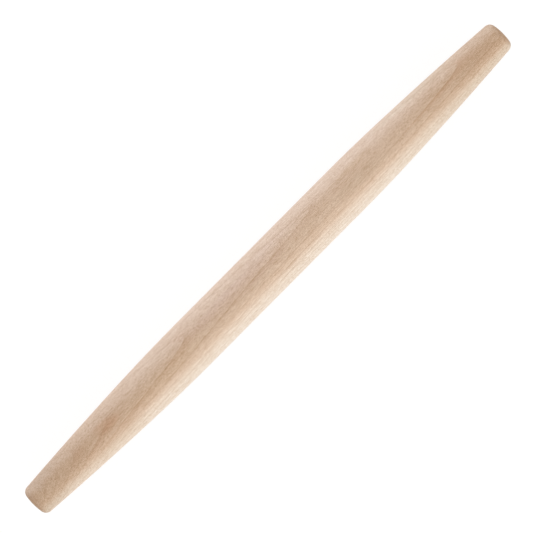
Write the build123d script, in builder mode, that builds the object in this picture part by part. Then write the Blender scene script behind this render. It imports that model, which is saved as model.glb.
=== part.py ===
from build123d import *
import os
from math import sqrt

# French rolling pin: one length of beech, turned between centres and left without handles.
# It lies along X with its middle at the origin. Every length is in millimetres.

# Driving dimensions, in the order in which a turner marks out the blank
overall_length = 500
barrel_diameter = 40
barrel_length = 160  # the straight middle, which rolls flat on the dough
shoulder_length = 50  # the run along the pin over which the barrel eases into the taper
shoulder_radius = 1350  # the sweep of that run, so wide that no line shows where it starts
tip_diameter = 25  # where the taper would meet the domed end, before the edge is rounded
end_dome_radius = 47  # the swell of each end
tip_edge_radius = 5.4  # the soft edge that the palms rest against

# Stations along the pin, from its middle, and the radius of the work at each
half_length = overall_length / 2
barrel_radius = barrel_diameter / 2
tip_radius = tip_diameter / 2
shoulder_start = barrel_length / 2
shoulder_end = shoulder_start + shoulder_length
shoulder_drop = shoulder_radius - sqrt(shoulder_radius**2 - shoulder_length**2)
dome_depth = end_dome_radius - sqrt(end_dome_radius**2 - tip_radius**2)
tip_corner = (half_length - dome_depth, tip_radius)

with BuildPart() as rolling_pin:
    with BuildSketch(Plane.XZ) as turned_section:
        # Half of the section, on one side of the lathe's axis. Each curve leaves the one
        # before it along the same line, which is what makes the outline flow.
        with BuildLine():
            barrel = Line((0, barrel_radius), (shoulder_start, barrel_radius))
            shoulder = TangentArc(
                barrel @ 1,
                (shoulder_end, barrel_radius - shoulder_drop),
                tangent=barrel % 1,
            )
            taper = TangentArc(shoulder @ 1, tip_corner, tangent=shoulder % 1)
            dome = RadiusArc(taper @ 1, (half_length, 0), end_dome_radius)
            Polyline(dome @ 1, (0, 0), barrel @ 0)
        make_face()
        # The edge where the taper meets the dome
        fillet(turned_section.vertices().sort_by_distance(tip_corner)[0], tip_edge_radius)
        # The two ends of the pin are alike
        mirror(about=Plane.YZ)
    revolve(axis=Axis.X)

os.makedirs("parts", exist_ok=True)
rolling_pin.part.label = "rolling_pin"
export_step(rolling_pin.part, "parts/rolling_pin.step")
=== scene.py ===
"""A French rolling pin of bare turned beech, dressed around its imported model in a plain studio."""

import logging
import math
from dataclasses import asdict, dataclass
from enum import Enum

import bpy
from mathutils import Matrix, Vector


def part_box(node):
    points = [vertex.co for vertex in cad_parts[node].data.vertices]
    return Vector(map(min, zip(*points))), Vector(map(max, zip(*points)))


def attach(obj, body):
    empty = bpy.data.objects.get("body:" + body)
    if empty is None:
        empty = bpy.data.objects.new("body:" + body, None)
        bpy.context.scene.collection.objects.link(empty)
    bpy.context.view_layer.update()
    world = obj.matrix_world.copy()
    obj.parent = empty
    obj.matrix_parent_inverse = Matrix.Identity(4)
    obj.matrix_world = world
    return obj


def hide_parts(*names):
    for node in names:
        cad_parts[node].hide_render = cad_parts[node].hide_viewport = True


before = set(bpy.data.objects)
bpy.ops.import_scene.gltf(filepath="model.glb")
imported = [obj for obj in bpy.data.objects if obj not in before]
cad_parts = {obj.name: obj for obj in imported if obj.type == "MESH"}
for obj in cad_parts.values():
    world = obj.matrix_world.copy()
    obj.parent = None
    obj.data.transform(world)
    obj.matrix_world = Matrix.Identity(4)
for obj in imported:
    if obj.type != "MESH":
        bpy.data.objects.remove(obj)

Colour = tuple[float, float, float, float]
Place = tuple[float, float, float]
Point = tuple[float, float]
Pair = tuple[float, float]
Corner = tuple[int, int]
Socket = bpy.types.NodeSocket
Sockets = dict[str, Socket]
Group = bpy.types.NodeTree
Source = Socket | float | tuple[float, ...]

LOG = logging.getLogger("rolling_pin")
MILLIMETRES = 1000.0
NOISE_MIDDLE = 0.5
WHITE: Colour = (1.0, 1.0, 1.0, 1.0)
# The curve between the colours of a screen and linear ones.
SCREEN_WHITE = 255
SCREEN_TOE = 0.055
SCREEN_POWER = 2.4


class Flank(Enum):
    """A long side of the pin, with its sign across the table."""

    FAR = 1
    NEAR = -1


def shade(red: int, green: int, blue: int) -> Colour:
    """Turns a colour as seen on a screen, 0 to 255, into the linear one that a shader takes.

    Args:
        red: the screen's red.
        green: the screen's green.
        blue: the screen's blue.

    Returns:
        Linear red, green and blue, with an alpha of 1.
    """
    lifted = [(part / SCREEN_WHITE + SCREEN_TOE) / (1.0 + SCREEN_TOE) for part in (red, green, blue)]
    linear = [part**SCREEN_POWER for part in lifted]
    return (linear[0], linear[1], linear[2], 1.0)


@dataclass(frozen=True)
class Arc:
    """A round stretch of the outline, from one angle to another about its centre.

    Attributes:
        centre: the arc's centre, along the pin and out from its axis.
        radius: the arc's radius.
        start: the angle where it starts, in radians, from the pin's direction.
        end: the angle where it ends.
    """

    centre: Point
    radius: float
    start: float
    end: float

    def points(self, steps: int) -> list[Point]:
        """Gives the arc's points without its first.

        Args:
            steps: how many points to give.

        Returns:
            Points along the pin and out from its axis.
        """
        x, out = self.centre
        sweep = self.end - self.start
        turns = [self.start + sweep * step / steps for step in range(1, steps + 1)]
        return [
            (x + self.radius * math.cos(turn), out + self.radius * math.sin(turn))
            for turn in turns
        ]


@dataclass(frozen=True)
class Outline:
    """The turned outline of half the pin, in metres, from the middle of the barrel to one tip.

    Attributes:
        half_length: from the middle to the crown of the domed end.
        barrel_radius: the radius of the straight middle.
        shoulder_start: where the straight middle ends.
        shoulder_length: the run over which the barrel eases into the taper.
        shoulder_radius: the sweep of that run.
        tip_radius: where the taper would meet the dome if its edge were sharp.
        dome_radius: the swell of the end.
        edge_radius: the soft edge between the taper and the dome.
    """

    half_length: float
    barrel_radius: float
    shoulder_start: float = 0.080
    shoulder_length: float = 0.050
    shoulder_radius: float = 1.350
    tip_radius: float = 0.0125
    dome_radius: float = 0.047
    edge_radius: float = 0.0054

    def arcs(self) -> tuple[Arc, Arc, Arc, Arc]:
        """Works out the four arcs that follow the straight middle, each tangent to the last.

        Returns:
            The shoulder, the taper, the soft edge and the dome.
        """
        lean = math.asin(self.shoulder_length / self.shoulder_radius)
        upright = math.pi / 2
        shoulder = Arc(
            (self.shoulder_start, self.barrel_radius - self.shoulder_radius),
            self.shoulder_radius,
            upright,
            upright - lean,
        )
        dome_centre = Vector((self.half_length - self.dome_radius, 0.0))
        dome_reach = math.sqrt(self.dome_radius**2 - self.tip_radius**2)
        corner = Vector((dome_centre.x + dome_reach, self.tip_radius))
        taper_start = Vector(shoulder.points(1)[0])
        inward = Vector((-math.sin(lean), -math.cos(lean)))
        # The taper leaves the shoulder along its tangent and heads for the sharp corner.
        chord = corner - taper_start
        taper_radius = chord.length_squared / (2 * chord.dot(inward))
        taper_centre = taper_start + inward * taper_radius
        # The soft edge touches the taper and the dome from inside.
        edge_centre = meeting_point(
            taper_centre,
            taper_radius - self.edge_radius,
            dome_centre,
            self.dome_radius - self.edge_radius,
        )
        taper_end = bearing(taper_centre, edge_centre)
        dome_start = bearing(dome_centre, edge_centre)
        return (
            shoulder,
            Arc(tuple(taper_centre), taper_radius, upright - lean, taper_end),
            Arc(tuple(edge_centre), self.edge_radius, taper_end, dome_start),
            Arc(tuple(dome_centre), self.dome_radius, dome_start, 0.0),
        )


def bearing(centre: Vector, target: Vector) -> float:
    """Gives the angle of a point as seen from a centre, in radians."""
    away = target - centre
    return math.atan2(away.y, away.x)


def meeting_point(
    first: Vector, first_radius: float, second: Vector, second_radius: float
) -> Vector:
    """Finds where two circles cross on the side of the right tip.

    Args:
        first: the first circle's centre.
        first_radius: its radius.
        second: the second circle's centre.
        second_radius: its radius.

    Returns:
        The crossing further along the pin.
    """
    between = second - first
    apart = between.length
    along = (apart**2 + first_radius**2 - second_radius**2) / (2 * apart)
    aside = math.sqrt(first_radius**2 - along**2)
    foot = first + between * (along / apart)
    square = Vector((-between.y, between.x)) * (aside / apart)
    return max(foot + square, foot - square, key=lambda point: point.x)


@dataclass
class Wiring:
    """Adds nodes to one shader tree and joins their sockets.

    Attributes:
        tree: the tree that the nodes go into.
        spacing: how far apart they are laid out.
    """

    tree: bpy.types.NodeTree
    spacing: float = 190.0

    def node(self, kind: str, **settings: object) -> bpy.types.Node:
        """Adds a node to the right of the last one.

        Args:
            kind: the node's type, without the "ShaderNode" that it starts with.
            settings: the node's properties, by name.

        Returns:
            The new node.
        """
        made = self.tree.nodes.new("ShaderNode" + kind)
        made.location = (len(self.tree.nodes) * self.spacing, 0.0)
        for name, value in settings.items():
            setattr(made, name, value)
        return made

    def feed(self, socket: Socket, source: Source) -> None:
        """Joins an input to an output, or gives it a value of its own.

        Args:
            socket: the input.
            source: the output or the value.
        """
        if isinstance(source, Socket):
            self.tree.links.new(source, socket)
        else:
            socket.default_value = source

    def fill(self, node: bpy.types.Node, *sources: Source) -> None:
        """Feeds the first inputs of a node, in their order."""
        for socket, source in zip(node.inputs, sources):
            self.feed(socket, source)

    def math(self, operation: str, *sources: Source) -> Socket:
        """Works a sum on numbers.

        Args:
            operation: Blender's name of the sum.
            sources: what goes in.

        Returns:
            The answer.
        """
        made = self.node("Math", operation=operation)
        self.fill(made, *sources)
        return made.outputs["Value"]

    def square(self, value: Socket) -> Socket:
        """Multiplies a number by itself."""
        return self.math("MULTIPLY", value, value)

    def total(self, start: float, *parts: tuple[Source, float]) -> Socket:
        """Adds masks to a number, each with a weight of its own.

        Args:
            start: the number.
            parts: each mask with its weight.

        Returns:
            The sum.
        """
        answer: Source = start
        for mask, weight in parts:
            answer = self.math("MULTIPLY_ADD", mask, weight, answer)
        return answer

    def vectors(self, operation: str, *sources: Source) -> Socket:
        """Works a sum on vectors.

        Args:
            operation: Blender's name of the sum.
            sources: what goes in.

        Returns:
            The answer, which is a number for a length and a vector for the rest.
        """
        made = self.node("VectorMath", operation=operation)
        self.fill(made, *sources)
        return made.outputs["Value" if operation == "LENGTH" else "Vector"]

    def split(self, vector: Socket) -> tuple[Socket, ...]:
        """Takes a vector apart.

        Args:
            vector: the vector.

        Returns:
            Its parts along the pin, across the table and up.
        """
        made = self.node("SeparateXYZ")
        self.fill(made, vector)
        return tuple(made.outputs)

    def measure(self, *parts: tuple[Socket, Socket]) -> Socket:
        """Makes a vector of three lengths.

        Args:
            parts: each length, with the size that counts as 1 in its direction.

        Returns:
            The vector.
        """
        made = self.node("CombineXYZ")
        self.fill(made, *(self.math("DIVIDE", length, size) for length, size in parts))
        return made.outputs["Vector"]

    def noise(self, place: Socket, detail: Source) -> Socket:
        """Draws soft noise, with patches about 1 wide.

        Args:
            place: where each point lies in the noise.
            detail: how much finer noise it carries.

        Returns:
            A value that strays to both sides of NOISE_MIDDLE.
        """
        made = self.node("TexNoise")
        self.feed(made.inputs["Vector"], place)
        made.inputs["Scale"].default_value = 1.0
        self.feed(made.inputs["Detail"], detail)
        return made.outputs["Fac"]

    def fade(self, value: Source, nothing: Source, full: Source, smooth: bool = True) -> Socket:
        """Turns a value into a mask.

        Args:
            value: the value that is read.
            nothing: the value where the mask is 0.
            full: the value where the mask is 1.
            smooth: whether the mask eases in and out.

        Returns:
            The mask, held between 0 and 1.
        """
        kind = "SMOOTHSTEP" if smooth else "LINEAR"
        made = self.node("MapRange", interpolation_type=kind, clamp=True)
        for name, source in (("Value", value), ("From Min", nothing), ("From Max", full)):
            self.feed(made.inputs[name], source)
        return made.outputs["Result"]

    def tint(self, mask: Source, colour: Source, tone: Colour) -> Socket:
        """Multiplies a colour by a tone where a mask allows it.

        Args:
            mask: how much of the tone shows.
            colour: the colour below.
            tone: the tone.

        Returns:
            The tinted colour.
        """
        made = self.node("Mix", data_type="RGBA", blend_type="MULTIPLY", clamp_factor=True)
        for name, source in (("Factor_Float", mask), ("A_Color", colour), ("B_Color", tone)):
            self.feed(next(one for one in made.inputs if one.identifier == name), source)
        return next(one for one in made.outputs if one.identifier == "Result_Color")

    def effect(self, group: Group, found: Sockets, **values: Source) -> Sockets:
        """Places an effect and joins its inputs.

        Args:
            group: the effect's node group.
            found: what other effects have found, by name, for the inputs of those names.
            values: what goes into the other inputs, by their names in small letters.

        Returns:
            The effect's outputs, by name.
        """
        made = self.node("Group", node_tree=group)
        for name, source in found.items():
            if name in made.inputs:
                self.feed(made.inputs[name], source)
        for name, source in values.items():
            self.feed(made.inputs[title_of(name)], source)
        return {socket.name: socket for socket in made.outputs}


def title_of(name: str) -> str:
    """Gives a socket's name, such as "Late Wood", for its name in code, such as late_wood."""
    return name.replace("_", " ").title()


class Effect:
    """A shader node group with named inputs and outputs, built once.

    Attributes:
        tree: the group.
        wiring: the wiring of its nodes.
        takes: the group's inputs, which its nodes read.
        gives: the group's outputs, which its nodes feed.
    """

    def __init__(self, name: str, gives: tuple[str, ...], **takes: float | None) -> None:
        """Makes the empty group.

        Args:
            name: the group's name.
            gives: the names of the outputs, which are all numbers.
            takes: each input's usual value, or None for a vector, by name in small letters.
        """
        self.tree = bpy.data.node_groups.new(name, "ShaderNodeTree")
        for small, usual in takes.items():
            kind = "NodeSocketVector" if usual is None else "NodeSocketFloat"
            socket = self.tree.interface.new_socket(
                name=title_of(small), in_out="INPUT", socket_type=kind
            )
            if usual is not None:
                socket.default_value = usual
        for title in gives:
            self.tree.interface.new_socket(
                name=title, in_out="OUTPUT", socket_type="NodeSocketFloat"
            )
        self.wiring = Wiring(self.tree)
        self.takes = self.tree.nodes.new("NodeGroupInput").outputs
        self.gives = self.tree.nodes.new("NodeGroupOutput").inputs

    def close(self, **answers: Socket) -> Group:
        """Joins the outputs.

        Args:
            answers: what each output gives, by its name in small letters.

        Returns:
            The finished group.
        """
        for name, source in answers.items():
            self.wiring.feed(self.gives[title_of(name)], source)
        return self.tree


def log_position() -> Group:
    """Finds each point's place in the log that the pin was cut from.

    The years lie nearly flat, because the pith is far below. They dip towards it at the left
    tip and bow gently elsewhere, which draws arches on the turned surface.

    Returns:
        A group that turns a position in millimetres into distances along the grain, through
        the years, away from the pith and across the rays.
    """
    effect = Effect(
        "Log position",
        ("Along", "Year", "Radial", "Across"),
        position=None, turn=0.0, twist=0.0, pith=200.0, waver=0.0,
        flare=0.0, flare_start=0.0, flare_reach=60.0, bow=0.0, bow_middle=0.0,
    )
    wires, takes = effect.wiring, effect.takes
    x, y, z = wires.split(takes["Position"])
    turn = wires.math("MULTIPLY_ADD", x, takes["Twist"], takes["Turn"])
    sine = wires.math("SINE", turn)
    cosine = wires.math("COSINE", turn)
    radial = wires.math("MULTIPLY_ADD", y, sine, wires.math("MULTIPLY", z, cosine))
    across = wires.math("SUBTRACT", wires.math("MULTIPLY", y, cosine), wires.math("MULTIPLY", z, sine))

    depth = wires.math("ADD", takes["Pith"], radial)
    to_pith = wires.math("SQRT", wires.math("ADD", wires.square(depth), wires.square(across)))
    flat_year = wires.math("SUBTRACT", to_pith, takes["Pith"])

    run = wires.math("DIVIDE", wires.math("SUBTRACT", takes["Flare Start"], x), takes["Flare Reach"])
    flare = wires.math("MULTIPLY", takes["Flare"], wires.math("EXPONENT", run))
    off_middle = wires.math("SUBTRACT", x, takes["Bow Middle"])
    bow = wires.math("MULTIPLY", takes["Bow"], wires.square(off_middle))

    # A swell of the wander is about 80 mm long and 14 mm wide.
    swells = (0.012, 0.07, 0.07)
    drawn_out = wires.vectors("MULTIPLY", takes["Position"], swells)
    wander = wires.math("SUBTRACT", wires.noise(drawn_out, detail=3.0), NOISE_MIDDLE)
    sway = wires.math("MULTIPLY", wander, takes["Waver"])

    year = wires.math("ADD", wires.math("ADD", flat_year, flare), wires.math("ADD", bow, sway))
    return effect.close(along=x, year=year, radial=radial, across=across)


def year_rings(first: float, years: tuple[Pair, ...]) -> Group:
    """Draws the late wood that closes each year.

    Args:
        first: where the innermost year starts, in millimetres through the years.
        years: the width of each year in millimetres, and how dark it closes.

    Returns:
        A group that turns the distance through the years into the late wood, which darkens
        slowly through each year, and the thin line where it stops at once.
    """
    effect = Effect("Year rings", ("Line", "Late Wood"), year=0.0, line_power=13.0, fade_power=2.0)
    wires, takes = effect.wiring, effect.takes
    span = sum(width for width, _ in years)
    ramp = wires.node("ValToRGB")
    wires.fill(ramp, wires.fade(takes["Year"], first, first + span, smooth=False))
    stops = ramp.color_ramp.elements
    stops[0].color = (0.0, years[0][1], 0.0, 1.0)
    stops[1].color = (1.0, years[-1][1], 0.0, 1.0)
    passed = 0.0
    for count, (width, depth) in enumerate(years[:-1], start=1):
        passed += width
        stops.new(passed / span).color = (count / len(years), depth, 0.0, 1.0)
    read = wires.node("SeparateColor")
    wires.fill(read, ramp.outputs["Color"])
    counted = wires.math("MULTIPLY", read.outputs["Red"], float(len(years)))
    ripe = wires.math("FRACT", counted)
    dark = read.outputs["Green"]
    line = wires.math("MULTIPLY", wires.math("POWER", ripe, takes["Line Power"]), dark)
    late = wires.math("MULTIPLY", wires.math("POWER", ripe, takes["Fade Power"]), dark)
    return effect.close(line=line, late_wood=late)


def fibre_streaks() -> Group:
    """Draws streaks that run with the grain.

    Returns:
        A group that gives a value between -1 and 1, which changes slowly along the grain and
        quickly through the years.
    """
    effect = Effect(
        "Fibre streaks",
        ("Streak",),
        along=0.0, year=0.0, across=0.0, length=60.0, width=1.0, spread=6.0, detail=2.0,
    )
    wires, takes = effect.wiring, effect.takes
    place = wires.measure(
        (takes["Along"], takes["Length"]),
        (takes["Year"], takes["Width"]),
        (takes["Across"], takes["Spread"]),
    )
    stray = wires.math("SUBTRACT", wires.noise(place, takes["Detail"]), NOISE_MIDDLE)
    return effect.close(streak=wires.math("MULTIPLY", stray, 1.0 / NOISE_MIDDLE))


def ray_flecks() -> Group:
    """Draws the rays of beech, thin ribbons that stand between pith and bark.

    On a face cut along the years they show their edges, as short dark dashes. On a face cut
    towards the pith they show their sides, as broad shiny flecks.

    Returns:
        A group that gives a mask of the rays.
    """
    effect = Effect(
        "Ray flecks",
        ("Ray",),
        along=0.0, radial=0.0, across=0.0,
        length=2.4, reach=9.0, thickness=0.3, share=0.6, rim=0.6, core=0.3,
    )
    wires, takes = effect.wiring, effect.takes
    place = wires.measure(
        (takes["Along"], takes["Length"]),
        (takes["Radial"], takes["Reach"]),
        (takes["Across"], takes["Thickness"]),
    )
    cells = wires.node("TexVoronoi", feature="F1", distance="EUCLIDEAN")
    wires.feed(cells.inputs["Vector"], place)
    cells.inputs["Scale"].default_value = 1.0
    body = wires.fade(cells.outputs["Distance"], takes["Rim"], takes["Core"])
    chance = wires.node("SeparateColor")
    wires.fill(chance, cells.outputs["Color"])
    there = wires.math("LESS_THAN", chance.outputs["Red"], takes["Share"])
    faintest = 0.3
    strength = wires.total(faintest, (chance.outputs["Green"], 1.0 - faintest))
    return effect.close(ray=wires.math("MULTIPLY", wires.math("MULTIPLY", body, there), strength))


def vessel_lines() -> Group:
    """Draws the wood's fine vessels, hair lines on the side and dots on the end.

    Returns:
        A group that gives a mask of the open vessels.
    """
    effect = Effect(
        "Vessel lines",
        ("Vessel",),
        along=0.0, radial=0.0, across=0.0, length=9.0, width=0.16, starts=0.52, full=0.7,
    )
    wires, takes = effect.wiring, effect.takes
    place = wires.measure(
        (takes["Along"], takes["Length"]),
        (takes["Radial"], takes["Width"]),
        (takes["Across"], takes["Width"]),
    )
    found = wires.noise(place, detail=1.0)
    return effect.close(vessel=wires.fade(found, takes["Starts"], takes["Full"]))


def short_grain() -> Group:
    """Finds where the cut crosses the fibres, as on the domed ends.

    Returns:
        A group that gives a mask of the end grain.
    """
    effect = Effect("Short grain", ("End Grain",), starts=0.45, full=0.96)
    wires, takes = effect.wiring, effect.takes
    endways = wires.split(wires.node("TexCoord").outputs["Normal"])[0]
    slope = wires.math("ABSOLUTE", endways)
    return effect.close(end_grain=wires.fade(slope, takes["Starts"], takes["Full"]))


def tone_patch() -> Group:
    """Finds a patch of the wood where the tree laid down a different tone.

    Returns:
        A group that gives a mask with a soft ragged rim.
    """
    effect = Effect(
        "Tone patch",
        ("Patch",),
        position=None, middle=None, reach=None, ragged=0.0, rim=1.0, core=0.25,
    )
    wires, takes = effect.wiring, effect.takes
    away = wires.vectors("SUBTRACT", takes["Position"], takes["Middle"])
    distance = wires.vectors("LENGTH", wires.vectors("DIVIDE", away, takes["Reach"]))
    raggedness = 0.6
    torn = wires.math("MULTIPLY_ADD", takes["Ragged"], raggedness, distance)
    return effect.close(patch=wires.fade(torn, takes["Rim"], takes["Core"]))


@dataclass(frozen=True)
class Grain:
    """A material's wiring, with what the effects find at each point of the wood.

    Attributes:
        wires: the material's wiring.
        found: the place on the pin and what the effects give, by name.
        bands: the broad streaks.
        fibres: the fine streaks, one for each size.
        rays: the rays, one mask for each size.
    """

    wires: Wiring
    found: Sockets
    bands: Socket
    fibres: tuple[Socket, ...]
    rays: tuple[Socket, ...]


class Within(Enum):
    """What a patch of tone keeps to, by the name of its mask."""

    ALL_WOOD = ""
    LATE_WOOD = "Late Wood"
    YEAR_LINES = "Line"


@dataclass(frozen=True)
class Patch:
    """A part of the log with a tone of its own. Lengths are in millimetres.

    Attributes:
        along: where its middle lies along the pin.
        angle: where its middle lies round the pin, in degrees from the top to the far flank.
        reach: how far it extends along the pin.
        spread: how far it extends across.
        tone: what the colour is multiplied by.
        within: what it keeps to.
        from_axis: how far its middle lies from the pin's axis.
    """

    along: float
    angle: float
    reach: float
    spread: float
    tone: Colour
    within: Within = Within.ALL_WOOD
    from_axis: float = 18.0

    def middle(self) -> Place:
        """Gives the place of its middle on the pin."""
        angle = math.radians(self.angle)
        return (self.along, self.from_axis * math.sin(angle), self.from_axis * math.cos(angle))

    def lay(self, grain: Grain, group: Group, colour: Socket) -> Socket:
        """Tints a colour by the patch.

        Args:
            grain: the wiring and what the effects find.
            group: the effect that finds a patch.
            colour: the colour below.

        Returns:
            The tinted colour.
        """
        wires = grain.wires
        extent = (self.reach, self.spread, self.spread)
        mask = wires.effect(
            group, grain.found, middle=self.middle(), reach=extent, ragged=grain.bands
        )["Patch"]
        if self.within is not Within.ALL_WOOD:
            mask = wires.math("MULTIPLY", mask, grain.found[self.within.value])
        return wires.tint(mask, colour, self.tone)


@dataclass(frozen=True)
class Drift:
    """A tone that comes in slowly from one part of the pin to another: the wood's own, or on the
    flanks partly painted highlight.

    Attributes:
        tone: what the colour is multiplied by where it is fully there.
        starts: the place or slope where it starts.
        full: the place or slope from which it is fully there.
    """

    tone: Colour
    starts: float
    full: float

    def lay(self, wires: Wiring, value: Socket, colour: Source) -> Socket:
        """Tints a colour by the tone, by the place or slope that is read."""
        return wires.tint(wires.fade(value, self.starts, self.full), colour, self.tone)


@dataclass(frozen=True)
class Streaks:
    """One size of streak that runs with the grain. Lengths are in millimetres.

    Attributes:
        length: how long a streak is.
        width: how wide it is through the years.
        spread: how wide it is along them.
        softness: how far a streak strays from the mean before it shows its whole tone.
        detail: how much finer streaking it carries.
        pale: whether the paler streaks show as well as the darker ones.
        dark_tone: the tone of the darker streaks.
        light_tone: the tone of the paler ones.
    """

    length: float
    width: float
    spread: float
    softness: float
    detail: float = 2.0
    pale: bool = False
    dark_tone: Colour = (0.84, 0.77, 0.69, 1.0)
    light_tone: Colour = (1.06, 1.08, 1.10, 1.0)

    def pattern(self, wires: Wiring, group: Group, found: Sockets) -> Socket:
        """Draws the streaks.

        Args:
            wires: the material's wiring.
            group: the effect that draws streaks.
            found: where each point lies in the log.

        Returns:
            A value between -1 for the palest and 1 for the darkest.
        """
        sizes = {"length": self.length, "width": self.width, "spread": self.spread}
        return wires.effect(group, found, detail=self.detail, **sizes)["Streak"]

    def lay(self, wires: Wiring, streak: Socket, colour: Socket) -> Socket:
        """Tints a colour by the streaks.

        Args:
            wires: the material's wiring.
            streak: the streaks' value.
            colour: the colour below.

        Returns:
            The tinted colour.
        """
        darker = wires.fade(streak, 0.0, self.softness, smooth=False)
        colour = wires.tint(darker, colour, self.dark_tone)
        if self.pale:
            paler = wires.fade(streak, 0.0, -self.softness, smooth=False)
            colour = wires.tint(paler, colour, self.light_tone)
        return colour


@dataclass(frozen=True)
class Rays:
    """One size of ray. Lengths are in millimetres.

    Attributes:
        length: how long a ray is along the grain.
        reach: how far it runs towards the pith.
        thickness: how thin the ribbon is.
        share: how many of the possible places hold a ray.
        strength: how dark its edge shows.
    """

    length: float
    reach: float
    thickness: float
    share: float
    strength: float

    def pattern(self, wires: Wiring, group: Group, found: Sockets) -> Socket:
        """Draws the rays.

        Args:
            wires: the material's wiring.
            group: the effect that draws rays.
            found: where each point lies in the log.

        Returns:
            A mask of the rays.
        """
        sizes = {"length": self.length, "reach": self.reach, "thickness": self.thickness}
        return wires.effect(group, found, share=self.share, **sizes)["Ray"]


@dataclass(frozen=True)
class Log:
    """How the pin lay in the log that it was cut from. Lengths are in millimetres.

    Attributes:
        turn: how far the middle of the arches lies from the top, towards the far flank, in
            radians.
        twist: how much further it lies for each millimetre towards the right tip.
        pith: how far the pith lies from the pin's axis.
        flare: how far the years dip towards the pith at the left tip.
        flare_start: where that dip is measured.
        flare_reach: the run over which it dies away.
        bow: how strongly the years bow along the pin.
        bow_middle: where the bow is lowest.
        waver: how far the years wander.
    """

    turn: float = math.radians(27.0)
    twist: float = math.radians(0.0124)
    pith: float = 160.0
    flare: float = 22.3
    flare_start: float = -250.0
    flare_reach: float = 42.8
    bow: float = 9.65e-5
    bow_middle: float = 98.0
    waver: float = 0.25


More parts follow.
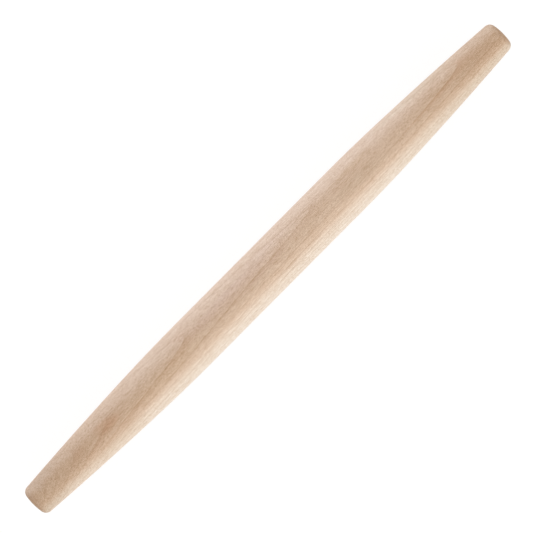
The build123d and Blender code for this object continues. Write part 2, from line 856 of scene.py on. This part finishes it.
@dataclass(frozen=True)
class BareBeech:
    """Fine-sanded bare beech. Lengths are in millimetres, and a tone multiplies the colour.

    Attributes:
        early: the pale wood of spring.
        late_tone: the wood that closes a year.
        line_tone: the thin line at the end of a year.
        ray_tone: a ray's edge.
        vessel_tone: an open vessel.
        end_tone: the end grain.
        far: the far flank, pinker and paler by how far the surface faces it: partly the wood's
            own tone and partly painted highlight, the pale glare where the flank faces its lamp.
        near: the near flank, creamier and paler by how far the surface faces it: partly the
            wood's own tone and partly painted highlight, the pale glare where the flank faces its
            lamp.
        bark: the deeper wood towards the bark, by the distance through the years.
        left: the wood towards the left tip, by the place along the pin.
        right: the wood towards the right tip, by the place along the pin.
        log: how the pin lay in the log.
        first_year: where the innermost year starts.
        years: how wide the years are, from there towards the bark, and how dark they close.
        patches: the parts with a tone of their own.
        bands: the broad streaks.
        fibres: the bundles of fibres, the single fibres and the short ones between the rays.
        rays: the thin rays and the broad ones.
        ray_side: how much of its darkness a ray keeps where its broad side shows.
        ray_edges: how far out across the rays their edges start to show, and show wholly.
        late_strength: how strongly the wood that closes a year shows.
        end_rings: how much more the years show on the end grain.
        line_least: how strongly the line at the end of a year shows at its faintest.
        line_more: how much more it shows at its clearest.
        line_bands: the broad streaks' values where it shows at those two.
        vessel_strength: how strongly the open vessels show.
        sheen: how much light the fine nap of the sanded wood catches at a glance.
        sheen_roughness: how softly it does so.
        roughness: the roughness of the plain wood.
        vessel_roughness: how much an open vessel adds to it.
        ray_roughness: how much a thin ray adds to it.
        end_roughness: how much the end grain adds to it.
        bump: how strongly the grain is felt.
        bump_height: the height of the grain in metres.
        fibre_rise: how far a bundle of fibres rises, as a share of that height.
        vessel_rise: how far an open vessel rises, below 0 because it sinks.
        late_rise: how far the wood that closes a year rises.
    """

    early: Colour = shade(233, 206, 182)
    late_tone: Colour = (0.90, 0.85, 0.79, 1.0)
    line_tone: Colour = (0.74, 0.63, 0.52, 1.0)
    ray_tone: Colour = (0.70, 0.58, 0.47, 1.0)
    vessel_tone: Colour = (0.74, 0.64, 0.54, 1.0)
    end_tone: Colour = (0.86, 0.80, 0.73, 1.0)
    # far and near are partly painted highlight: the flanks that face the lamps are drawn paler and
    # whiter.
    far: Drift = Drift((0.985, 1.045, 1.16, 1.0), 0.10, 0.85)
    near: Drift = Drift((1.01, 1.155, 1.30, 1.0), -0.34, -0.90)
    bark: Drift = Drift((0.82, 0.79, 0.74, 1.0), 14.0, 36.0)
    left: Drift = Drift((0.97, 0.94, 0.91, 1.0), -90.0, -200.0)
    right: Drift = Drift((0.88, 0.84, 0.78, 1.0), 90.0, 235.0)
    log: Log = Log()
    first_year: float = -22.2
    years: tuple[Pair, ...] = (
        (3.8, 0.7), (3.5, 0.7), (3.7, 0.8), (3.6, 0.6), (3.8, 0.8),
        (3.5, 0.7), (3.6, 0.8), (3.15, 0.95), (3.15, 1.0), (3.4, 1.0),
        (3.4, 0.8), (3.8, 0.9), (3.3, 0.7), (3.8, 0.7), (4.2, 0.7),
        (4.2, 0.7), (4.1, 0.7), (4.4, 0.7), (4.2, 0.7),
    )
    patches: tuple[Patch, ...] = (
        Patch(-168.0, 13.0, 17.0, 7.5, (0.95, 0.87, 0.81, 1.0)),
        Patch(-182.0, 2.0, 44.0, 14.0, (0.92, 0.83, 0.77, 1.0), Within.LATE_WOOD),
        Patch(-180.0, 14.0, 44.0, 20.0, (1.12, 1.19, 1.27, 1.0), Within.YEAR_LINES),
        Patch(-238.0, 48.0, 34.0, 12.0, (0.95, 0.96, 0.98, 1.0)),
        Patch(-228.0, -8.0, 28.0, 10.0, (1.06, 1.09, 1.12, 1.0)),
        Patch(-170.0, -42.0, 46.0, 6.5, (0.94, 0.92, 0.89, 1.0)),
        Patch(-148.0, -9.0, 30.0, 7.0, (0.95, 0.89, 0.84, 1.0), Within.LATE_WOOD),
        Patch(-110.0, -6.0, 55.0, 7.0, (0.98, 0.96, 0.92, 1.0)),
        Patch(-98.0, 10.0, 34.0, 7.0, (0.96, 0.91, 0.86, 1.0), Within.LATE_WOOD),
        Patch(-82.0, 38.0, 22.0, 5.0, (1.06, 1.06, 1.09, 1.0)),
        Patch(-15.0, 22.0, 75.0, 10.0, (0.99, 0.98, 1.02, 1.0)),
        Patch(-46.0, 2.0, 36.0, 9.0, (0.87, 0.79, 0.72, 1.0), Within.YEAR_LINES),
        Patch(4.0, 9.0, 34.0, 9.0, (0.94, 0.90, 0.86, 1.0), Within.YEAR_LINES),
        Patch(14.0, 18.0, 75.0, 6.0, (1.06, 1.08, 1.10, 1.0)),
        Patch(26.0, -32.0, 45.0, 6.0, (0.88, 0.84, 0.80, 1.0), Within.LATE_WOOD),
        Patch(168.0, 62.0, 56.0, 8.0, (1.06, 1.12, 1.15, 1.0)),
        Patch(74.0, 28.0, 34.0, 9.0, (1.10, 1.15, 1.20, 1.0), Within.YEAR_LINES),
        Patch(98.0, 28.0, 28.0, 4.0, (0.95, 0.92, 0.86, 1.0)),
        Patch(98.0, -2.0, 32.0, 8.0, (0.93, 0.92, 0.90, 1.0)),
        Patch(188.0, 14.0, 46.0, 11.0, (0.96, 0.89, 0.84, 1.0), Within.LATE_WOOD),
        Patch(170.0, 2.0, 46.0, 9.0, (0.94, 0.86, 0.79, 1.0), Within.YEAR_LINES),
        Patch(190.0, 42.0, 38.0, 10.0, (1.10, 1.15, 1.20, 1.0), Within.YEAR_LINES),
        Patch(226.0, -8.0, 38.0, 9.0, (0.88, 0.80, 0.73, 1.0), Within.YEAR_LINES),
        Patch(232.0, 0.0, 40.0, 14.0, (0.96, 0.93, 0.90, 1.0)),
    )
    bands: Streaks = Streaks(130.0, 2.2, 8.0, softness=3.8)
    fibres: tuple[Streaks, ...] = (
        Streaks(30.0, 0.45, 0.5, softness=1.1),
        Streaks(12.0, 0.28, 0.28, softness=0.43, detail=1.0, pale=True),
        Streaks(1.2, 0.28, 0.28, softness=0.32, detail=1.0, pale=True),
    )
    rays: tuple[Rays, ...] = (
        Rays(1.3, 3.5, 0.28, share=0.60, strength=0.85),
        Rays(2.8, 4.5, 0.45, share=0.10, strength=0.50),
    )
    ray_side: float = 0.45
    ray_edges: Pair = (18.0, 6.0)
    late_strength: float = 0.36
    end_rings: float = 0.45
    line_least: float = 0.38
    line_more: float = 0.20
    line_bands: Pair = (-0.35, 0.30)
    vessel_strength: float = 0.30
    sheen: float = 0.12
    sheen_roughness: float = 0.45
    roughness: float = 0.50
    vessel_roughness: float = 0.10
    ray_roughness: float = -0.06
    end_roughness: float = 0.14
    bump: float = 0.25
    bump_height: float = 0.00008
    fibre_rise: float = 0.35
    vessel_rise: float = -1.0
    late_rise: float = 0.25

    def material(self) -> bpy.types.Material:
        """Builds the finish.

        Returns:
            The material, with the grain running through the whole solid.
        """
        made = bpy.data.materials.new("bare_beech")
        made.use_nodes = True
        wires = Wiring(made.node_tree)
        inputs = made.node_tree.nodes["Principled BSDF"].inputs
        grain = self.find_grain(wires)
        plain = self.heartwood(grain)
        wires.feed(inputs["Base Color"], self.draw_grain(grain, plain))
        wires.feed(inputs["Roughness"], self.feel(grain))
        wires.feed(inputs["Normal"], self.relief(grain))
        inputs["Sheen Weight"].default_value = self.sheen
        inputs["Sheen Roughness"].default_value = self.sheen_roughness
        return made

    def find_grain(self, wires: Wiring) -> Grain:
        """Places the effects in the material.

        Args:
            wires: the material's wiring.

        Returns:
            The wiring and what the effects find.
        """
        scale = (MILLIMETRES, MILLIMETRES, MILLIMETRES)
        position = wires.vectors("MULTIPLY", wires.node("TexCoord").outputs["Object"], scale)
        found = {"Position": position}
        found |= wires.effect(log_position(), found, **asdict(self.log))
        for group in (year_rings(self.first_year, self.years), vessel_lines(), short_grain()):
            found |= wires.effect(group, found)
        streaks = fibre_streaks()
        ribbons = ray_flecks()
        return Grain(
            wires=wires,
            found=found,
            bands=self.bands.pattern(wires, streaks, found),
            fibres=tuple(size.pattern(wires, streaks, found) for size in self.fibres),
            rays=tuple(size.pattern(wires, ribbons, found) for size in self.rays),
        )

    def heartwood(self, grain: Grain) -> Socket:
        """Mixes the broad tones of the wood and the painted highlight on the flanks, before its grain.

        Args:
            grain: the wiring and what the effects find.

        Returns:
            The colour.
        """
        wires = grain.wires
        along = wires.split(grain.found["Position"])[0]
        side = wires.split(wires.node("TexCoord").outputs["Normal"])[1]
        # Painted highlight: the flanks turn paler by how far they face the lamps, on top of the wood's
        # own pinker and creamier tones there.
        colour = self.far.lay(wires, side, self.early)
        colour = self.near.lay(wires, side, colour)
        colour = self.bark.lay(wires, grain.found["Year"], colour)
        colour = self.left.lay(wires, along, colour)
        colour = self.right.lay(wires, along, colour)
        colour = self.bands.lay(wires, grain.bands, colour)
        group = tone_patch()
        for patch in self.patches:
            colour = patch.lay(grain, group, colour)
        return colour

    def draw_grain(self, grain: Grain, colour: Socket) -> Socket:
        """Draws the years, the fibres, the rays, the vessels and the end grain.

        Args:
            grain: the wiring and what the effects find.
            colour: the colour below.

        Returns:
            The colour with its grain.
        """
        wires = grain.wires
        end = grain.found["End Grain"]
        shown = wires.total(self.late_strength, (end, self.end_rings))
        late = wires.math("MULTIPLY", grain.found["Late Wood"], shown)
        colour = wires.tint(late, colour, self.late_tone)
        banded = wires.fade(grain.bands, *self.line_bands)
        clear = wires.total(self.line_least, (banded, self.line_more), (end, self.end_rings))
        line = wires.math("MULTIPLY", grain.found["Line"], clear)
        colour = wires.tint(line, colour, self.line_tone)
        for size, streak in zip(self.fibres, grain.fibres):
            colour = size.lay(wires, streak, colour)
        edge_on = wires.fade(wires.math("ABSOLUTE", grain.found["Across"]), *self.ray_edges)
        edge_on = wires.math("MAXIMUM", edge_on, end)
        edge_on = wires.total(self.ray_side, (edge_on, 1.0 - self.ray_side))
        for size, ray in zip(self.rays, grain.rays):
            strength = wires.math("MULTIPLY", edge_on, size.strength)
            colour = wires.tint(wires.math("MULTIPLY", ray, strength), colour, self.ray_tone)
        vessel = wires.math("MULTIPLY", grain.found["Vessel"], self.vessel_strength)
        colour = wires.tint(vessel, colour, self.vessel_tone)
        return wires.tint(end, colour, self.end_tone)

    def feel(self, grain: Grain) -> Socket:
        """Works out how rough the wood is.

        Args:
            grain: the wiring and what the effects find.

        Returns:
            The roughness.
        """
        return grain.wires.total(
            self.roughness,
            (grain.found["Vessel"], self.vessel_roughness),
            (grain.rays[0], self.ray_roughness),
            (grain.found["End Grain"], self.end_roughness),
        )

    def relief(self, grain: Grain) -> Socket:
        """Raises and sinks the grain.

        Args:
            grain: the wiring and what the effects find.

        Returns:
            The normal of the wood.
        """
        bump = grain.wires.node("Bump")
        bump.inputs["Strength"].default_value = self.bump
        bump.inputs["Distance"].default_value = self.bump_height
        height = grain.wires.total(
            0.0,
            (grain.fibres[0], self.fibre_rise),
            (grain.found["Vessel"], self.vessel_rise),
            (grain.found["Late Wood"], self.late_rise),
        )
        grain.wires.feed(bump.inputs["Height"], height)
        return bump.outputs["Normal"]


@dataclass
class TurnedPin:
    """The whole pin, which is one piece of wood.

    Attributes:
        outline: the turned outline of one half.
        finish: the wood.
        facets: how many sides the mesh has round the pin.
        barrel_steps: how many rows of faces the straight half has.
        arc_steps: how many rows the shoulder, the taper, the soft edge and the dome have.
        sheet_foot: where the unrolled sheet starts on the textures, which are 1 high.
        disc_size: how wide each domed end is on the textures.
        disc_places: where the middle of each domed end lies along the textures.
    """

    outline: Outline
    finish: BareBeech
    facets: int = 192
    barrel_steps: int = 12
    arc_steps: tuple[int, int, int, int] = (14, 40, 16, 14)
    sheet_foot: float = 0.14
    disc_size: float = 0.126
    disc_places: Pair = (0.07, 0.21)

    def stations(self) -> list[Point]:
        """Gives the outline's points from the left crown to the right crown.

        Returns:
            Points along the pin and out from its axis. The first and last lie on the axis.
        """
        outline = self.outline
        half = [
            (outline.shoulder_start * step / self.barrel_steps, outline.barrel_radius)
            for step in range(self.barrel_steps + 1)
        ]
        for arc, steps in zip(outline.arcs(), self.arc_steps):
            half += arc.points(steps)
        half[-1] = (outline.half_length, 0.0)
        left = [(-x, out) for x, out in reversed(half[1:])]
        return left + half

    def build(self) -> bpy.types.Object:
        """Turns the outline about the lathe's axis.

        Returns:
            The pin, with smooth faces and a map for its textures.
        """
        stations = self.stations()
        points = [(stations[0][0], 0.0, 0.0)]
        for x, out in stations[1:-1]:
            points += [(x, *self.around(out, side)) for side in range(self.facets)]
        points.append((stations[-1][0], 0.0, 0.0))
        faces = self.faces(len(stations) - 1)
        numbers = [[self.number(corner, len(points)) for corner in face] for face in faces]
        mesh = bpy.data.meshes.new("turned_pin")
        mesh.from_pydata(points, [], numbers)
        mesh.shade_smooth()
        layer = mesh.uv_layers.new(name="OFBake")
        layer.data.foreach_set("uv", self.unroll(stations, faces))
        pin = bpy.data.objects.new("turned_pin", mesh)
        bpy.context.scene.collection.objects.link(pin)
        return pin

    def around(self, out: float, side: int) -> Point:
        """Places a point of one side across the table and up, by its distance from the axis."""
        turn = math.pi + 2 * math.pi * side / self.facets
        return (out * math.sin(turn), out * math.cos(turn))

    def faces(self, crown: int) -> list[list[Corner]]:
        """Lists the faces, each by the station and the side of its corners.

        Args:
            crown: the number of the last station. The first is 0.

        Returns:
            A fan at each crown and squares between them, all facing outwards.
        """
        made: list[list[Corner]] = []
        for side in range(self.facets):
            after = side + 1
            made.append([(0, side), (1, side), (1, after)])
            for ring in range(1, crown - 1):
                made.append([(ring, side), (ring + 1, side), (ring + 1, after), (ring, after)])
            made.append([(crown - 1, side), (crown, side), (crown - 1, after)])
        return made

    def number(self, corner: Corner, count: int) -> int:
        """Finds the point of the mesh that a corner stands for.

        Args:
            corner: the corner's station and side. The side after the last is the first again.
            count: how many points the mesh has.

        Returns:
            The point's number. Each crown is one point, whatever the side.
        """
        ring, side = corner
        number = 1 + (ring - 1) * self.facets + side % self.facets
        return min(max(number, 0), count - 1)

    def unroll(self, stations: list[Point], faces: list[list[Corner]]) -> list[float]:
        """Unrolls the pin for its textures, as one sheet above the two domed ends.

        Args:
            stations: the outline's points.
            faces: the faces, each by the station and the side of its corners.

        Returns:
            The two places on the textures of each corner, one after the other.
        """
        reach = [0.0]
        for before, after in zip(stations, stations[1:]):
            reach.append(reach[-1] + math.dist(before, after))
        first = self.arc_steps[-1]
        last = len(stations) - 1 - first
        sheet_length = reach[last] - reach[first]
        flat: list[float] = []
        for face in faces:
            rings = [ring for ring, _ in face]
            for ring, side in face:
                across, up = self.around(stations[ring][1] / stations[first][1], side)
                if max(rings) <= first:
                    flat += self.on_disc(up, across, self.disc_places[0])
                elif min(rings) >= last:
                    flat += self.on_disc(across, up, self.disc_places[1])
                else:
                    along = (reach[ring] - reach[first]) / sheet_length
                    share = side / self.facets
                    flat += (along, self.sheet_foot + (1.0 - self.sheet_foot) * share)
        return flat

    def on_disc(self, right: float, up: float, middle: float) -> Point:
        """Places a point of a domed end on its disc below the sheet.

        Args:
            right: how far right on the disc the point lies, where 1 is the disc's rim.
            up: how far up it lies.
            middle: where the disc's middle lies along the textures.

        Returns:
            The point's place on the textures.
        """
        radius = self.disc_size / 2
        return (middle + radius * right, self.sheet_foot / 2 + radius * up)

    def dress(self, pin: bpy.types.Object) -> None:
        """Gives the pin its wood and sets it in the frame.

        Args:
            pin: the turned pin.
        """
        pin.data.materials.append(self.finish.material())
        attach(pin, "root")
        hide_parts("rolling_pin")


@dataclass(frozen=True)
class WhiteSweep:
    """A matt white table top that shows white to the camera and still holds a faint shadow.

    Attributes:
        paper: the colour that lights the pin from below.
        shown: how much of the real light the camera sees on it.
        lift: the even white that is added for the camera.
    """

    paper: Colour = (0.80, 0.80, 0.80, 1.0)
    shown: float = 0.24
    lift: float = 0.84

    def material(self) -> bpy.types.Material:
        """Builds the finish.

        Returns:
            The material, which is brighter for the camera than for the pin.
        """
        made = bpy.data.materials.new("white_sweep")
        made.use_nodes = True
        nodes = made.node_tree.nodes
        nodes.remove(nodes["Principled BSDF"])
        wires = Wiring(made.node_tree)
        matt = wires.node("BsdfDiffuse")
        matt.inputs["Color"].default_value = self.paper
        faint = wires.node("BsdfDiffuse")
        faint.inputs["Color"].default_value = (self.shown, self.shown, self.shown, 1.0)
        glow = wires.node("Emission")
        glow.inputs["Strength"].default_value = self.lift
        seen = wires.node("AddShader")
        wires.fill(seen, faint.outputs[0], glow.outputs[0])
        choice = wires.node("MixShader")
        wires.fill(choice, seen_directly(wires), matt.outputs[0], seen.outputs[0])
        wires.feed(nodes["Material Output"].inputs["Surface"], choice.outputs[0])
        return made


def seen_directly(wires: Wiring) -> Socket:
    """Tells the rays that are seen from those that light the pin.

    Args:
        wires: the wiring of the material or of the surroundings.

    Returns:
        1 for a ray from the camera, a mirror or glass, and 0 for any other.
    """
    path = wires.node("LightPath").outputs
    mirrored = wires.math("MAXIMUM", path["Is Glossy Ray"], path["Is Transmission Ray"])
    return wires.math("MAXIMUM", path["Is Camera Ray"], mirrored)


@dataclass(frozen=True)
class Softbox:
    """A long soft lamp that stands low beside the pin. Lengths are in metres.

    Attributes:
        flank: the side of the pin on which it stands.
        power: its power in watts.
        tint: its colour.
        rise: its height above the table, as an angle in degrees.
        away: how far from the pin it stands.
        length: its length along the pin.
        height: its height.
    """

    flank: Flank
    power: float
    tint: Place
    rise: float = 16.0
    away: float = 0.9
    length: float = 1.2
    height: float = 0.45

    def build(self) -> bpy.types.Object:
        """Sets the lamp up, facing the pin.

        Returns:
            The lamp.
        """
        name = f"softbox_{self.flank.name.lower()}"
        lamp = bpy.data.lights.new(name, "AREA")
        lamp.shape = "RECTANGLE"
        lamp.size, lamp.size_y = self.length, self.height
        lamp.energy = self.power
        lamp.color = self.tint
        made = bpy.data.objects.new(name, lamp)
        bpy.context.scene.collection.objects.link(made)
        rise = math.radians(self.rise)
        towards = Vector((0.0, self.flank.value * math.cos(rise), math.sin(rise)))
        made.location = towards * self.away
        made.rotation_euler = towards.to_track_quat("Z", "Y").to_euler()
        made.visible_camera = False
        return made


@dataclass
class Studio:
    """A plain pale table under soft light, with the camera straight above the pin.

    Attributes:
        table_height: the height of the table top.
        lamps: the lamps.
        horizon: how bright the surroundings are level with the table.
        overhead: how bright they are straight above it.
        table_side: the side of the square table top.
        lens: the camera's focal length in millimetres.
        photo_side: the photograph's side in pixels.
        pin_length: the pin's length in the photograph, in pixels.
        pin_middle: the middle of the pin in the photograph, in pixels from its top left corner.
        lean: how steeply the pin rises to the right in the photograph, in degrees.
    """

    table_height: float
    lamps: tuple[Softbox, ...]
    horizon: float = 0.87
    overhead: float = 0.48
    table_side: float = 12.0
    lens: float = 300.0
    photo_side: float = 533.0
    pin_length: float = 664.85
    pin_middle: Point = (267.97, 268.65)
    lean: float = 45.17

    def build(self, pin_size: float) -> None:
        """Sets up the table, the lamps, the surroundings and the camera.

        Args:
            pin_size: the pin's real length in metres.
        """
        self.lay_table()
        for lamp in self.lamps:
            lamp.build()
            LOG.info("lamp on the %s flank, %.1f W", lamp.flank.name.lower(), lamp.power)
        self.light_surroundings()
        self.place_camera(pin_size)

    def lay_table(self) -> None:
        """Lays the table top under the pin."""
        half = self.table_side / 2
        corners = [(-half, -half, 0.0), (half, -half, 0.0), (half, half, 0.0), (-half, half, 0.0)]
        mesh = bpy.data.meshes.new("table_top")
        mesh.from_pydata(corners, [], [(0, 1, 2, 3)])
        mesh.materials.append(WhiteSweep().material())
        table = bpy.data.objects.new("table_top", mesh)
        table.location.z = self.table_height
        bpy.context.scene.collection.objects.link(table)

    def light_surroundings(self) -> None:
        """Makes the surroundings white to the camera, and softer overhead to the pin."""
        world = bpy.data.worlds.new("white_room")
        world.use_nodes = True
        bpy.context.scene.world = world
        wires = Wiring(world.node_tree)
        back = world.node_tree.nodes["Background"]
        back.inputs["Color"].default_value = WHITE
        upward = wires.split(wires.node("TexCoord").outputs["Generated"])[2]
        height = wires.math("ABSOLUTE", upward)
        real = wires.total(self.horizon, (height, self.overhead - self.horizon))
        shown = seen_directly(wires)
        dimmed = wires.math("MULTIPLY", real, wires.math("SUBTRACT", 1.0, shown))
        wires.feed(back.inputs["Strength"], wires.math("ADD", dimmed, shown))

    def place_camera(self, pin_size: float) -> None:
        """Hangs the camera above the pin, turned as the photograph is.

        Args:
            pin_size: the pin's real length in metres.
        """
        lens = bpy.data.cameras.new("overhead")
        lens.lens = self.lens
        camera = bpy.data.objects.new("overhead", lens)
        bpy.context.scene.collection.objects.link(camera)
        pixel = pin_size / self.pin_length
        rise = pixel * self.photo_side * self.lens / lens.sensor_width
        turn = Matrix.Rotation(-math.radians(self.lean), 3, "Z")
        centre = self.photo_side / 2
        aside = Vector((centre - self.pin_middle[0], self.pin_middle[1] - centre, 0.0)) * pixel
        camera.location = turn @ aside + Vector((0.0, 0.0, rise))
        camera.rotation_euler = turn.to_euler()
        bpy.context.scene.camera = camera
        LOG.info("camera %.2f m above the pin", rise)


def main() -> None:
    """Builds the pin and the studio, and reports each piece."""
    logging.basicConfig(level=logging.INFO, format="%(message)s")
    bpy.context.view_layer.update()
    low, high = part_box("rolling_pin")
    bpy.context.scene.view_settings.view_transform = "Standard"

    turned = TurnedPin(Outline(half_length=high.x, barrel_radius=high.z), BareBeech())
    pin = turned.build()
    turned.dress(pin)
    LOG.info("%s: %d faces", pin.name, len(pin.data.polygons))

    lamps = (
        Softbox(Flank.FAR, power=3.9, tint=(1.0, 0.99, 0.99)),
        Softbox(Flank.NEAR, power=5.0, tint=(1.0, 1.0, 0.98)),
    )
    Studio(table_height=low.z, lamps=lamps).build(high.x - low.x)


if __name__ == "__main__":
    main()
